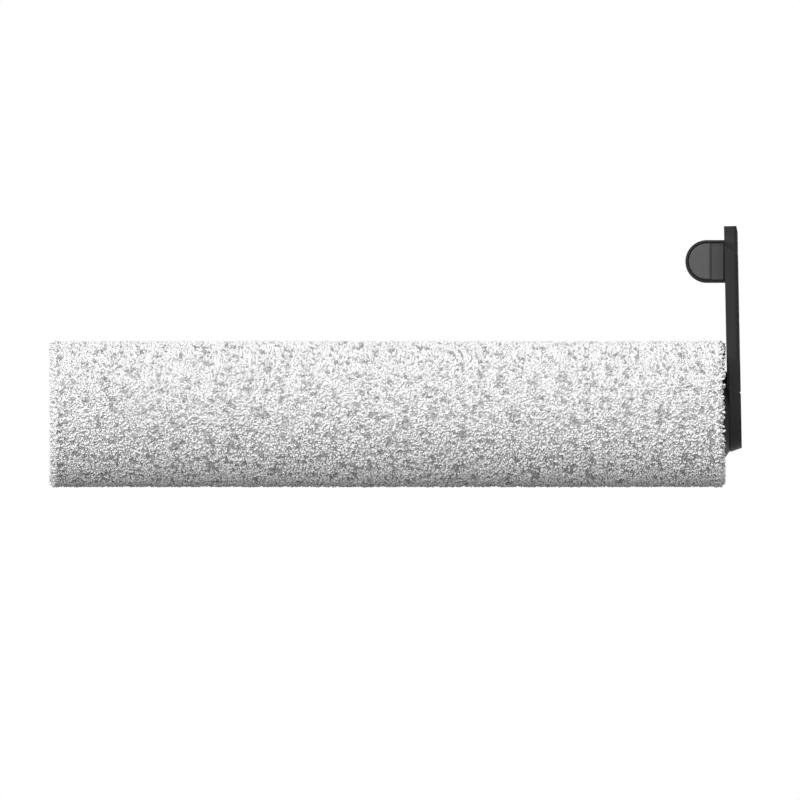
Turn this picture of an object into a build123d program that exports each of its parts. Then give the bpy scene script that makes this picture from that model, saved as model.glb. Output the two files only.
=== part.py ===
from build123d import *
from math import cos, radians, sin
import os

# A roller brush for a wet and dry vacuum cleaner: a pile-covered tube that turns on a ball bearing,
# carried by an end bracket with a pull tab. X runs along the roller's axis from the drive end to the
# bracket, Z runs up the bracket's arm, and the origin is on the axis at the mouth of the drive socket.
# Lengths are in millimetres and angles in degrees.

# Tube and pile
TUBE_DIAMETER = 38.0
TUBE_WALL = 2.0
TUBE_LENGTH = 230.0
PILE_DIAMETER = 52.0
PILE_PAST_DRIVE = 2.0
PILE_PAST_BEARING = 2.8
PILE_END_ROUND = 1.8

# Both end plugs
PLUG_WALL = 2.8
PLUG_FIT = 0.05
RIB_THICKNESS = 1.6
RIB_COUNT = 6
O_RING_SECTION = 1.5
O_RING_GROOVE = 2.2

# Drive plug
DRIVE_FLANGE = 2.5
DRIVE_PLUG_LENGTH = 23.5
DRIVE_RECESS = 14.0
DRIVE_RECESS_FLOOR = 2.0
DRIVE_O_RING_INSET = 4.0
SOCKET_DIAMETER = 16.0
SOCKET_DEPTH = 18.0
SOCKET_WALL = 2.4
SOCKET_FLOOR = 2.0
SOCKET_LEAD_IN = 0.8
KEYWAY_COUNT = 6
KEYWAY_WIDTH = 1.6
KEYWAY_DEPTH = 1.2

# Bearing plug
BEARING_FLANGE = 1.5
BEARING_PLUG_LENGTH = 18.5
BEARING_BOSS_WALL = 1.8
BEARING_RECESS = 9.0
BEARING_O_RING_INSET = 4.5
SEAT_SHOULDER = 0.9
SEAT_SHOULDER_HEIGHT = 2.0

# Ball bearing
BEARING_BORE = 8.0
BEARING_OUTSIDE = 22.0
BEARING_WIDTH = 7.0
BALL_DIAMETER = 3.969
BALL_COUNT = 7
RACE_PLAY = 0.05
RACE_DEPTH = 0.6
SHIELD_THICKNESS = 0.3
SHIELD_SET = 0.3
SHIELD_SEAT_DEPTH = 0.65
SHIELD_GAP = 0.3
CAGE_HEIGHT = 1.7
CAGE_BACK = 0.55
CAGE_REACH = 1.25
CAGE_PLAY = 0.07

# Circlip
CLIP_THICKNESS = 1.0
CLIP_WIDTH = 1.6
CLIP_GROOVE_DEPTH = 0.5
CLIP_PLAY = 0.1
CLIP_GAP_ANGLE = 32.0
CLIP_EYE_RADIUS = 1.3
CLIP_EYE_HOLE = 0.6

# Lip seal
SEAL_WIDTH = 4.5
SEAL_SET = 0.1
SEAL_WALL = 1.5
SEAL_WEB = 1.4
SEAL_LIP_GAP = 0.05
SEAL_LIP_PLACE = 1.3
SEAL_LIP_HEIGHT = 2.1
SPRING_SECTION = 0.9
SPRING_FIT = 0.05

# Axle and what is clamped on it
AXLE_SHORT = 0.2
AXLE_FIT = 0.02
AXLE_CHAMFER = 0.5
AXLE_HEAD_FLATS = 13.0
AXLE_HEAD_HEIGHT = 2.8
AXLE_HEAD_FIT = 0.1
THREAD_DIAMETER = 6.0
THREAD_PROUD = 0.8
SPACER_DIAMETER = 12.0
WASHER_DIAMETER = 12.0
WASHER_THICKNESS = 1.2
WASHER_FIT = 0.2
NUT_FLATS = 10.0
NUT_HEX_HEIGHT = 3.6
NUT_COLLAR_HEIGHT = 1.4
NUT_COLLAR_DIAMETER = 9.0
NUT_INSERT_WALL = 0.9

# Hub of the bracket
HUB_GAP = 0.6
HUB_CLEARANCE = 1.0
HUB_RIM = 0.6
HUB_CLAMP = 3.5
HUB_STEP = 0.5
HUB_SINK = 0.5
HUB_LIP = 2.5
FELT_WIDTH = 3.0
FELT_SEAT = 1.4
FELT_PROUD = 0.2

# Lower block and cover of the bracket
BRACKET_DEPTH = 8.05
BRACKET_LEAN = 1.1
BLOCK_RADIUS = 13.4
BLOCK_THICKNESS = 4.1
BLOCK_DRAFT = 18.5
BLOCK_LEDGE = 18.8
BLOCK_EDGE_ROUND = 0.4
COVER_THICKNESS = 1.4
COVER_TOP = 7.6
COVER_NOTCH = 0.4
PEG_DIAMETER = 2.4
PEG_LENGTH = 2.0
PEG_CIRCLE_DIAMETER = 20.0
PEG_DROP_ANGLE = 20.0
PEG_FIT = 0.02

# Arm of the bracket
ARM_THICKNESS = 4.86
ARM_WIDTH = 22.0
ARM_TOP = 66.6
ARM_EDGE_ROUND = 1.7
TIP_WIDTH = 16.0
TIP_HEIGHT = 3.4
TIP_BEVEL_HEIGHT = 2.4
TIP_BEVEL_DEPTH = 0.45
INNER_SHOULDER = 3.2
OUTER_SHOULDER = 7.3
CORE_SKIN = 2.0
CORE_WALL = 2.2
CORE_RIB = 1.8
CORE_ROUND = 1.5

# Pull tab
TAB_HEIGHT = 15.2
TAB_REACH = 13.9
TAB_MIDDLE = 54.0
TAB_THICKNESS = 5.0
TAB_RIM = 0.8
TAB_RIM_ROUND = 0.5
TAB_ROOT = 1.5
TAB_WEB = 1.6
STRAP_LENGTH = 4.65
STRAP_SET = 0.5
STRAP_END_GAP = 0.45
PANEL_MARGIN = 0.7
PANEL_DEPTH = 0.12
GRIP_GAP = 0.4
GRIP_SET = 0.05
GRIP_EDGE_ROUND = 0.5
GRIP_END_ROUND = 1.2
WINDOW_DIAMETER = 3.0
WINDOW_SPACING = 6.0

# Places along the axis, from the drive socket's mouth
tube_start = DRIVE_FLANGE
tube_end = tube_start + TUBE_LENGTH
roller_face = tube_end + BEARING_FLANGE
seal_end = roller_face - SEAL_SET
seal_start = seal_end - SEAL_WIDTH
bearing_end = seal_start - SEAT_SHOULDER
bearing_start = bearing_end - BEARING_WIDTH
bearing_centre = (bearing_start + bearing_end) / 2
clip_start = bearing_start - CLIP_PLAY - CLIP_THICKNESS
bearing_plug_back = tube_end - BEARING_PLUG_LENGTH
drive_plug_back = tube_start + DRIVE_PLUG_LENGTH
washer_start = bearing_start - WASHER_THICKNESS
nut_hex_start = washer_start - NUT_HEX_HEIGHT
nut_start = nut_hex_start - NUT_COLLAR_HEIGHT
hub_face = roller_face + HUB_GAP
head_seat = hub_face + HUB_CLAMP
outer_face = hub_face + BRACKET_DEPTH

# Radii
tube_radius = TUBE_DIAMETER / 2
tube_bore = tube_radius - TUBE_WALL
plug_radius = tube_bore - PLUG_FIT
plug_inside = plug_radius - PLUG_WALL
socket_radius = SOCKET_DIAMETER / 2
seat_radius = BEARING_OUTSIDE / 2
axle_radius = BEARING_BORE / 2
ball_radius = BALL_DIAMETER / 2
pitch_radius = (seat_radius + axle_radius) / 2
race_radius = ball_radius + RACE_PLAY
inner_land = pitch_radius - race_radius + RACE_DEPTH
outer_land = pitch_radius + race_radius - RACE_DEPTH
shield_radius = outer_land + SHIELD_SEAT_DEPTH
spacer_radius = SPACER_DIAMETER / 2
thread_radius = THREAD_DIAMETER / 2
hub_radius = tube_radius - HUB_CLEARANCE
felt_outside = hub_radius - HUB_LIP
felt_inside = felt_outside - FELT_WIDTH
peg_radius = PEG_DIAMETER / 2

# The bracket leans outwards going down: its own planes, across the axis and along the arm
lean_cos = cos(radians(BRACKET_LEAN))
lean_sin = sin(radians(BRACKET_LEAN))
face_plane = Plane(origin=(outer_face, 0, 0), x_dir=(0, 1, 0), z_dir=(lean_cos, 0, lean_sin))
side_plane = Plane(origin=(outer_face, 0, 0), x_dir=(lean_cos, 0, lean_sin), z_dir=(0, -1, 0))
cone_end = outer_face - BLOCK_THICKNESS * lean_cos + BLOCK_RADIUS * lean_sin
tab_root = outer_face - ARM_THICKNESS * lean_cos - TAB_MIDDLE * lean_sin
tab_radius = TAB_HEIGHT / 2
tab_centre = tab_root - TAB_REACH + tab_radius
tab_face = TAB_THICKNESS / 2
pocket_radius = tab_radius - TAB_RIM
strap_start = tab_root - STRAP_LENGTH
grip_radius = pocket_radius - GRIP_GAP
grip_face = tab_face - GRIP_SET
strap_face = tab_face - STRAP_SET


def band(start, end, inner, outer, mode=Mode.ADD):
    """Lay the rectangle of a ring's section between two places and two radii."""
    Polygon((start, inner), (end, inner), (end, outer), (start, outer), align=None, mode=mode)


def d_shape(radius, end):
    """Lay the tab's outline: a half round towards the drive end and straight sides up to a place."""
    with Locations((tab_centre, TAB_MIDDLE)):
        Circle(radius)
        Rectangle(end - tab_centre, 2 * radius, align=(Align.MIN, Align.CENTER))


def window_places():
    """Give the places of the holes through the tab's web that the two grip faces meet in."""
    return Locations(
        (tab_centre, TAB_MIDDLE - WINDOW_SPACING / 2),
        (tab_centre, TAB_MIDDLE + WINDOW_SPACING / 2),
    )


def cover_room():
    """Lay the cover's section: the outer layer of the lower block, up to the cover's top edge."""
    with Locations((0, COVER_TOP)):
        Rectangle(2 * COVER_THICKNESS, COVER_TOP + 2 * BLOCK_RADIUS, align=(Align.CENTER, Align.MAX))


def cover_notch():
    """Lay the section of the small groove along the cover's top edge."""
    Polygon(
        (0, COVER_TOP - COVER_NOTCH),
        (COVER_NOTCH, COVER_TOP),
        (0, COVER_TOP + COVER_NOTCH),
        (-COVER_NOTCH, COVER_TOP),
        align=None,
    )


def peg_places():
    """Give the places of the cover's two pegs, on the cover's inner face."""
    return PolarLocations(
        PEG_CIRCLE_DIAMETER / 2,
        2,
        start_angle=-PEG_DROP_ANGLE,
        angular_range=180 + 2 * PEG_DROP_ANGLE,
        endpoint=True,
    )


# The extruded tube and the pile around it
with BuildPart() as core_tube:
    with BuildSketch(Plane.XZ):
        band(tube_start, tube_end, tube_bore, tube_radius)
    revolve(axis=Axis.X)
core_tube.part.label = "core_tube"

with BuildPart() as pile_cover:
    with BuildSketch(Plane.XZ) as pile_section:
        band(-PILE_PAST_DRIVE, roller_face + PILE_PAST_BEARING, tube_radius, PILE_DIAMETER / 2)
        fillet(pile_section.vertices().group_by(Axis.Y)[-1], PILE_END_ROUND)
    revolve(axis=Axis.X)
pile_cover.part.label = "pile_cover"

# The drive plug: flange, sleeve, ribbed recess and splined socket
drive_o_ring_place = drive_plug_back - DRIVE_O_RING_INSET
with BuildPart() as drive_plug:
    with BuildSketch(Plane.XZ):
        band(0, tube_start, socket_radius, tube_radius)
        band(tube_start, drive_plug_back, plug_inside, plug_radius)
        band(-SOCKET_LEAD_IN, SOCKET_DEPTH, socket_radius, socket_radius + SOCKET_WALL)
        band(SOCKET_DEPTH, SOCKET_DEPTH + SOCKET_FLOOR, 0, socket_radius + SOCKET_WALL)
        band(DRIVE_RECESS, DRIVE_RECESS + DRIVE_RECESS_FLOOR, socket_radius, plug_radius)
        band(0, DRIVE_RECESS, socket_radius + SOCKET_WALL, plug_inside, mode=Mode.SUBTRACT)
        band(
            drive_o_ring_place - O_RING_GROOVE / 2,
            drive_o_ring_place + O_RING_GROOVE / 2,
            tube_bore - O_RING_SECTION,
            tube_bore,
            mode=Mode.SUBTRACT,
        )
        Polygon(
            (-SOCKET_LEAD_IN, socket_radius),
            (0, socket_radius),
            (-SOCKET_LEAD_IN, socket_radius + SOCKET_LEAD_IN),
            align=None,
            mode=Mode.SUBTRACT,
        )
    revolve(axis=Axis.X)
    with BuildSketch(Plane.YZ.offset(tube_start)):
        with PolarLocations((socket_radius + SOCKET_WALL + plug_inside) / 2, RIB_COUNT):
            Rectangle(plug_inside - socket_radius - SOCKET_WALL / 2, RIB_THICKNESS)
    extrude(amount=DRIVE_RECESS - tube_start)
    with BuildSketch(Plane.YZ.offset(-SOCKET_LEAD_IN)):
        with PolarLocations(socket_radius, KEYWAY_COUNT):
            Rectangle(2 * KEYWAY_DEPTH, KEYWAY_WIDTH)
    extrude(amount=SOCKET_DEPTH + SOCKET_LEAD_IN, mode=Mode.SUBTRACT)
drive_plug.part.label = "drive_plug"

with BuildPart(Plane.YZ.offset(drive_o_ring_place)) as drive_plug_o_ring:
    Torus(tube_bore - O_RING_SECTION / 2, O_RING_SECTION / 2)
drive_plug_o_ring.part.label = "drive_plug_o_ring"

# The bearing plug: flange, seats for seal and bearing, ribbed recess on its back
bearing_o_ring_place = tube_end - BEARING_O_RING_INSET
boss_radius = seat_radius + BEARING_BOSS_WALL
with BuildPart() as bearing_plug:
    with BuildSketch(Plane.XZ):
        band(tube_end, roller_face, seat_radius, tube_radius)
        band(bearing_plug_back, tube_end, seat_radius, plug_radius)
        band(bearing_end, seal_start, seat_radius - SEAT_SHOULDER_HEIGHT, seat_radius)
        band(clip_start, bearing_start, seat_radius, seat_radius + CLIP_GROOVE_DEPTH, mode=Mode.SUBTRACT)
        band(
            bearing_o_ring_place - O_RING_GROOVE / 2,
            bearing_o_ring_place + O_RING_GROOVE / 2,
            tube_bore - O_RING_SECTION,
            tube_bore,
            mode=Mode.SUBTRACT,
        )
    revolve(axis=Axis.X)
    with BuildSketch(Plane.YZ.offset(bearing_plug_back)):
        Circle(plug_radius - PLUG_WALL / 2)
        Circle(boss_radius, mode=Mode.SUBTRACT)
        with PolarLocations(seat_radius, RIB_COUNT):
            Rectangle(
                plug_radius - seat_radius,
                RIB_THICKNESS,
                align=(Align.MIN, Align.CENTER),
                mode=Mode.SUBTRACT,
            )
    extrude(amount=BEARING_RECESS, mode=Mode.SUBTRACT)
bearing_plug.part.label = "bearing_plug"

with BuildPart(Plane.YZ.offset(bearing_o_ring_place)) as bearing_plug_o_ring:
    Torus(tube_bore - O_RING_SECTION / 2, O_RING_SECTION / 2)
bearing_plug_o_ring.part.label = "bearing_plug_o_ring"

# The ball bearing: rings with grooved races, shields, balls and crown cage
shield_inset = SHIELD_SET + SHIELD_THICKNESS
with BuildPart() as bearing_outer_ring:
    with BuildSketch(Plane.XZ):
        band(bearing_start, bearing_end, outer_land, seat_radius)
        band(bearing_start, bearing_start + shield_inset, outer_land, shield_radius, mode=Mode.SUBTRACT)
        band(bearing_end - shield_inset, bearing_end, outer_land, shield_radius, mode=Mode.SUBTRACT)
        with Locations((bearing_centre, pitch_radius)):
            Circle(race_radius, mode=Mode.SUBTRACT)
    revolve(axis=Axis.X)
bearing_outer_ring.part.label = "bearing_outer_ring"

with BuildPart() as bearing_inner_ring:
    with BuildSketch(Plane.XZ):
        band(bearing_start, bearing_end, axle_radius, inner_land)
        with Locations((bearing_centre, pitch_radius)):
            Circle(race_radius, mode=Mode.SUBTRACT)
    revolve(axis=Axis.X)
bearing_inner_ring.part.label = "bearing_inner_ring"

with BuildPart() as bearing_shield_inboard:
    with BuildSketch(Plane.XZ):
        band(
            bearing_start + SHIELD_SET,
            bearing_start + shield_inset,
            inner_land + SHIELD_GAP,
            shield_radius,
        )
    revolve(axis=Axis.X)
bearing_shield_inboard.part.label = "bearing_shield_inboard"

with BuildPart() as bearing_shield_outboard:
    with BuildSketch(Plane.XZ):
        band(
            bearing_end - shield_inset,
            bearing_end - SHIELD_SET,
            inner_land + SHIELD_GAP,
            shield_radius,
        )
    revolve(axis=Axis.X)
bearing_shield_outboard.part.label = "bearing_shield_outboard"

with BuildPart(Plane.YZ.offset(bearing_centre)) as bearing_balls:
    with PolarLocations(pitch_radius, BALL_COUNT, start_angle=90):
        Sphere(ball_radius)
bearing_balls.part.label = "bearing_balls"

pocket_ball_radius = ball_radius + CAGE_PLAY
with BuildPart(Plane.YZ.offset(bearing_centre)) as bearing_cage:
    with Locations((0, 0, -CAGE_REACH)):
        Cylinder(
            pitch_radius + CAGE_HEIGHT / 2,
            CAGE_REACH + pocket_ball_radius + CAGE_BACK,
            align=(Align.CENTER, Align.CENTER, Align.MIN),
        )
        Cylinder(
            pitch_radius - CAGE_HEIGHT / 2,
            CAGE_REACH + pocket_ball_radius + CAGE_BACK,
            align=(Align.CENTER, Align.CENTER, Align.MIN),
            mode=Mode.SUBTRACT,
        )
    with PolarLocations(pitch_radius, BALL_COUNT, start_angle=90):
        Sphere(pocket_ball_radius, mode=Mode.SUBTRACT)
bearing_cage.part.label = "bearing_cage"

# The circlip, open at the bottom between two eyes
clip_outside = seat_radius + CLIP_GROOVE_DEPTH
clip_eye_circle = clip_outside - CLIP_WIDTH - CLIP_EYE_RADIUS / 2
clip_open = CLIP_GAP_ANGLE / 2
clip_end_angles = (270 - clip_open, 270 + clip_open)
with BuildPart() as bearing_circlip:
    with BuildSketch(Plane.YZ.offset(clip_start)):
        Circle(clip_outside)
        Circle(clip_outside - CLIP_WIDTH, mode=Mode.SUBTRACT)
        with BuildLine():
            Polyline(
                (0, 0),
                Vector(2 * clip_outside, 0).rotate(Axis.Z, clip_end_angles[0]),
                Vector(2 * clip_outside, 0).rotate(Axis.Z, clip_end_angles[1]),
                close=True,
            )
        make_face(mode=Mode.SUBTRACT)
        for angle in clip_end_angles:
            with Locations(Vector(clip_eye_circle, 0).rotate(Axis.Z, angle)):
                Circle(CLIP_EYE_RADIUS)
                Circle(CLIP_EYE_HOLE, mode=Mode.SUBTRACT)
    extrude(amount=CLIP_THICKNESS)
bearing_circlip.part.label = "bearing_circlip"

# The lip seal with its garter spring, running on the spacer
lip_place = seal_start + SEAL_LIP_PLACE
lip_back = spacer_radius + SEAL_LIP_HEIGHT
lip_edge = spacer_radius + SEAL_LIP_GAP
web_start = seal_end - SEAL_WEB
with BuildPart() as lip_seal:
    with BuildSketch(Plane.XZ):
        Polygon(
            (seal_start, seat_radius),
            (seal_start, seat_radius - SEAL_WALL),
            (web_start, seat_radius - SEAL_WALL),
            (web_start, lip_back),
            (lip_place - SPRING_SECTION, lip_back),
            (lip_place - SPRING_SECTION, lip_edge + SPRING_SECTION),
            (lip_place, lip_edge),
            (web_start, lip_edge + SPRING_SECTION),
            (seal_end - SEAL_WEB / 3, lip_edge),
            (seal_end, lip_edge + SPRING_SECTION),
            (seal_end, seat_radius),
            align=None,
        )
        with Locations((lip_place, lip_back)):
            Circle(SPRING_SECTION / 2 + SPRING_FIT, mode=Mode.SUBTRACT)
    revolve(axis=Axis.X)
lip_seal.part.label = "lip_seal"

with BuildPart(Plane.YZ.offset(lip_place)) as lip_seal_spring:
    Torus(lip_back, SPRING_SECTION / 2)
lip_seal_spring.part.label = "lip_seal_spring"

# The axle, a shoulder bolt, and the spacer, washer and lock nut on it
with BuildPart() as axle:
    with BuildSketch(Plane.XZ) as axle_section:
        band(bearing_start + AXLE_SHORT, head_seat, 0, axle_radius)
        band(nut_start - THREAD_PROUD, bearing_start + AXLE_SHORT, 0, thread_radius)
        chamfer(axle_section.vertices().sort_by(Axis.X)[:2].sort_by(Axis.Y)[-1], AXLE_CHAMFER)
    revolve(axis=Axis.X)
    with BuildSketch(Plane.YZ.offset(head_seat)):
        RegularPolygon(AXLE_HEAD_FLATS / 2, 6, major_radius=False)
    extrude(amount=AXLE_HEAD_HEIGHT)
axle.part.label = "axle"

with BuildPart() as axle_spacer:
    with BuildSketch(Plane.XZ):
        band(bearing_end, hub_face, axle_radius + AXLE_FIT, spacer_radius)
    revolve(axis=Axis.X)
axle_spacer.part.label = "axle_spacer"

with BuildPart() as axle_washer:
    with BuildSketch(Plane.XZ):
        band(washer_start, bearing_start, thread_radius + WASHER_FIT, WASHER_DIAMETER / 2)
    revolve(axis=Axis.X)
axle_washer.part.label = "axle_washer"

insert_outside = thread_radius + NUT_INSERT_WALL
with BuildPart() as lock_nut:
    with BuildSketch(Plane.YZ.offset(nut_hex_start)):
        RegularPolygon(NUT_FLATS / 2, 6, major_radius=False)
        Circle(thread_radius, mode=Mode.SUBTRACT)
    extrude(amount=NUT_HEX_HEIGHT)
    with BuildSketch(Plane.YZ.offset(nut_start)):
        Circle(NUT_COLLAR_DIAMETER / 2)
        Circle(insert_outside, mode=Mode.SUBTRACT)
    extrude(amount=NUT_COLLAR_HEIGHT)
lock_nut.part.label = "lock_nut"

with BuildPart() as lock_nut_insert:
    with BuildSketch(Plane.XZ):
        band(nut_start, nut_hex_start, thread_radius, insert_outside)
    revolve(axis=Axis.X)
lock_nut_insert.part.label = "lock_nut_insert"

# The bracket's lower block, round at the bottom and drafted towards the outer face
with BuildPart() as lower_block:
    with BuildSketch(face_plane.offset(-BLOCK_THICKNESS)):
        Circle(BLOCK_RADIUS)
        Rectangle(2 * BLOCK_RADIUS, 2 * BLOCK_LEDGE, align=(Align.CENTER, Align.MIN))
    extrude(amount=BLOCK_THICKNESS, taper=BLOCK_DRAFT)
    with BuildSketch(side_plane):
        with Locations((0, BLOCK_LEDGE)):
            Rectangle(4 * BLOCK_THICKNESS, 2 * BLOCK_LEDGE, align=(Align.CENTER, Align.MIN))
    extrude(amount=2 * BLOCK_RADIUS, both=True, mode=Mode.SUBTRACT)
    fillet(lower_block.faces().sort_by(Axis.Z)[-1].edges(), BLOCK_EDGE_ROUND)

# The pull tab: a rim round a web, with windows in the web for the grip
with BuildPart() as pull_tab:
    with BuildSketch(Plane.XZ):
        d_shape(tab_radius, tab_root + TAB_ROOT)
    extrude(amount=tab_face, both=True)
    fillet(pull_tab.faces().filter_by(Axis.Y).edges().filter_by(Axis.Z, reverse=True), TAB_RIM_ROUND)
    for side in (1, -1):
        with BuildSketch(Plane.XZ.offset(side * tab_face)):
            d_shape(pocket_radius, tab_root + TAB_ROOT)
        extrude(amount=side * (TAB_WEB / 2 - tab_face), mode=Mode.SUBTRACT)
    with BuildSketch(Plane.XZ):
        with window_places():
            Circle(WINDOW_DIAMETER / 2)
    extrude(amount=tab_face, both=True, mode=Mode.SUBTRACT)

# The end bracket: arm, lower block, hub and tab in one moulding
arm_side = ARM_WIDTH / 2
tip_side = TIP_WIDTH / 2
tip_start = ARM_TOP - TIP_HEIGHT
core_low = BLOCK_LEDGE + CORE_WALL
core_high = TAB_MIDDLE - tab_radius - CORE_WALL
core_height = (core_high - core_low - CORE_RIB) / 2
with BuildPart() as end_bracket:
    for depth, shoulder in ((-ARM_THICKNESS, INNER_SHOULDER), (0, OUTER_SHOULDER)):
        with BuildSketch(face_plane.offset(depth)):
            with BuildLine():
                Line((0, 0), (arm_side, 0))
                Line((arm_side, 0), (arm_side, tip_start - shoulder))
                TangentArc((tip_side, tip_start), (arm_side, tip_start - shoulder), tangent=(0, -1))
                Line((tip_side, tip_start), (tip_side, ARM_TOP))
                Line((tip_side, ARM_TOP), (0, ARM_TOP))
                mirror(about=Plane.YZ)
            make_face()
    loft(ruled=True)
    arm_outside = end_bracket.faces().sort_by(Axis(face_plane.origin, face_plane.z_dir))[-1]
    fillet(arm_outside.edges().filter_by(Axis.Y, reverse=True), ARM_EDGE_ROUND)
    with BuildSketch(side_plane):
        Polygon(
            (0, ARM_TOP - TIP_BEVEL_HEIGHT),
            (-TIP_BEVEL_DEPTH, ARM_TOP),
            (0, ARM_TOP),
            align=None,
        )
    extrude(amount=TIP_WIDTH, both=True, mode=Mode.SUBTRACT)
    with BuildSketch(face_plane.offset(-ARM_THICKNESS)):
        with Locations((0, core_low), (0, core_high - core_height)):
            RectangleRounded(
                ARM_WIDTH - 2 * CORE_WALL,
                core_height,
                CORE_ROUND,
                align=(Align.CENTER, Align.MIN),
            )
    extrude(amount=ARM_THICKNESS - CORE_SKIN, mode=Mode.SUBTRACT)
    add(lower_block.part)
    add(pull_tab.part)
    with BuildSketch(Plane.XZ):
        Polygon(
            (hub_face, 0),
            (hub_face, hub_radius),
            (hub_face + HUB_RIM, hub_radius),
            (cone_end, BLOCK_RADIUS - HUB_STEP),
            (cone_end + HUB_SINK, BLOCK_RADIUS - HUB_STEP),
            (cone_end + HUB_SINK, 0),
            align=None,
        )
        band(hub_face, hub_face + FELT_SEAT, felt_inside, felt_outside, mode=Mode.SUBTRACT)
    revolve(axis=Axis.X)
    with BuildSketch(Plane.YZ.offset(hub_face)):
        Circle(axle_radius + AXLE_FIT)
    extrude(amount=HUB_CLAMP, mode=Mode.SUBTRACT)
    with BuildSketch(Plane.YZ.offset(head_seat)):
        RegularPolygon(AXLE_HEAD_FLATS / 2 + AXLE_HEAD_FIT, 6, major_radius=False)
    extrude(amount=BRACKET_DEPTH, mode=Mode.SUBTRACT)
    with BuildSketch(side_plane):
        cover_room()
        cover_notch()
    extrude(amount=2 * BLOCK_RADIUS, both=True, mode=Mode.SUBTRACT)
    with BuildSketch(face_plane.offset(-COVER_THICKNESS)):
        with peg_places():
            Circle(peg_radius + PEG_FIT)
    extrude(amount=-PEG_LENGTH - PEG_FIT, mode=Mode.SUBTRACT)
end_bracket.part.label = "end_bracket"

# The cover over the axle's head, with its two pegs
with BuildPart() as outer_cover:
    add(lower_block.part)
    with BuildSketch(side_plane):
        cover_room()
    extrude(amount=2 * BLOCK_RADIUS, both=True, mode=Mode.INTERSECT)
    with BuildSketch(side_plane):
        cover_notch()
    extrude(amount=2 * BLOCK_RADIUS, both=True, mode=Mode.SUBTRACT)
    with BuildSketch(face_plane.offset(-COVER_THICKNESS)):
        with peg_places():
            Circle(peg_radius)
    extrude(amount=-PEG_LENGTH)
outer_cover.part.label = "outer_cover"

# The soft grip: a cushion and a strap on both faces of the tab, joined through the web's windows
with BuildPart() as tab_grip:
    with BuildSketch(Plane.XZ):
        d_shape(grip_radius, strap_start + GRIP_END_ROUND)
    extrude(amount=grip_face, both=True)
    fillet(tab_grip.faces().filter_by(Axis.Y).edges().filter_by(Axis.Z, reverse=True), GRIP_EDGE_ROUND)
    with BuildSketch(Plane.XY.offset(TAB_MIDDLE)) as grip_profile:
        with Locations((strap_start, 0)):
            Rectangle(TAB_REACH, 2 * grip_face, align=(Align.MAX, Align.CENTER))
        fillet(grip_profile.vertices().group_by(Axis.X)[-1], GRIP_END_ROUND)
    extrude(amount=tab_radius, both=True, mode=Mode.INTERSECT)
    with BuildSketch(Plane.XZ):
        with Locations((strap_start, TAB_MIDDLE)):
            Rectangle(
                STRAP_LENGTH - STRAP_END_GAP,
                2 * grip_radius,
                align=(Align.MIN, Align.CENTER),
            )
    extrude(amount=strap_face, both=True)
    for side in (1, -1):
        with BuildSketch(Plane.XZ.offset(side * strap_face)):
            with Locations((strap_start, TAB_MIDDLE)):
                Rectangle(
                    STRAP_LENGTH,
                    2 * (grip_radius - PANEL_MARGIN),
                    align=(Align.MIN, Align.CENTER),
                )
        extrude(amount=-side * PANEL_DEPTH, mode=Mode.SUBTRACT)
    with BuildSketch(Plane.XZ):
        d_shape(pocket_radius, tab_root)
        with window_places():
            Circle(WINDOW_DIAMETER / 2, mode=Mode.SUBTRACT)
    extrude(amount=TAB_WEB / 2, both=True, mode=Mode.SUBTRACT)
tab_grip.part.label = "tab_grip"

# The felt ring in the hub's face
with BuildPart() as felt_ring:
    with BuildSketch(Plane.XZ):
        band(hub_face - FELT_PROUD, hub_face + FELT_SEAT, felt_inside, felt_outside)
    revolve(axis=Axis.X)
felt_ring.part.label = "felt_ring"

pieces = [
    core_tube,
    pile_cover,
    drive_plug,
    drive_plug_o_ring,
    bearing_plug,
    bearing_plug_o_ring,
    bearing_outer_ring,
    bearing_inner_ring,
    bearing_shield_inboard,
    bearing_shield_outboard,
    bearing_balls,
    bearing_cage,
    bearing_circlip,
    lip_seal,
    lip_seal_spring,
    axle,
    axle_spacer,
    axle_washer,
    lock_nut,
    lock_nut_insert,
    end_bracket,
    outer_cover,
    tab_grip,
    felt_ring,
]
os.makedirs("parts", exist_ok=True)
for piece in pieces:
    export_step(piece.part, f"parts/{piece.part.label}.step")
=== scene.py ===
import logging
from dataclasses import dataclass
from enum import Enum
from math import cos, pi, radians, tau

import bpy
import numpy as np
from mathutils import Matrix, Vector


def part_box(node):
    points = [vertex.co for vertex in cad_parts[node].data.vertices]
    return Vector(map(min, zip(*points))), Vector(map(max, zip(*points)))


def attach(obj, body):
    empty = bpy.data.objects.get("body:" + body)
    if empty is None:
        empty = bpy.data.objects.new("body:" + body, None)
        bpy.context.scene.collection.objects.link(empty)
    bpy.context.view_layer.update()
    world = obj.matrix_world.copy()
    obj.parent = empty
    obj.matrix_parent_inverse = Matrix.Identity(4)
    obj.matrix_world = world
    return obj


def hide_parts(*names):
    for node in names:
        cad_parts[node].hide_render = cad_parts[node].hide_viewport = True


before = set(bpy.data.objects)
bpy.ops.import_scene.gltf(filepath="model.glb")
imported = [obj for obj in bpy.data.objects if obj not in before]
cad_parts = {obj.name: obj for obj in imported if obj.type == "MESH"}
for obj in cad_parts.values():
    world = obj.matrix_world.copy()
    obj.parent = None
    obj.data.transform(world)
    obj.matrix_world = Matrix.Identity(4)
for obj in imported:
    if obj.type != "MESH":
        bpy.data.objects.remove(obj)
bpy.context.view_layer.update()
LOG = logging.getLogger("roller_brush")
MM = 0.001
# Each fibre's mesh carries its height from root to tip and its own tone, with painted shade in the parted
# spots, which the pile's material reads.
TIP_LAYER = "tip"
SHADE_LAYER = "shade"
# Most of a noise pattern lies between these values, and a wave pattern repeats after this length.
NOISE_RANGE = (0.3, 0.7)
WAVE_PERIOD = pi / 10
UNIT = (0.0, 1.0)
# The factor, the two colours and the result among the sockets of a node that blends colours.
MIX_FACTOR, MIX_FIRST, MIX_SECOND, MIX_RESULT = 0, 6, 7, 2


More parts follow.
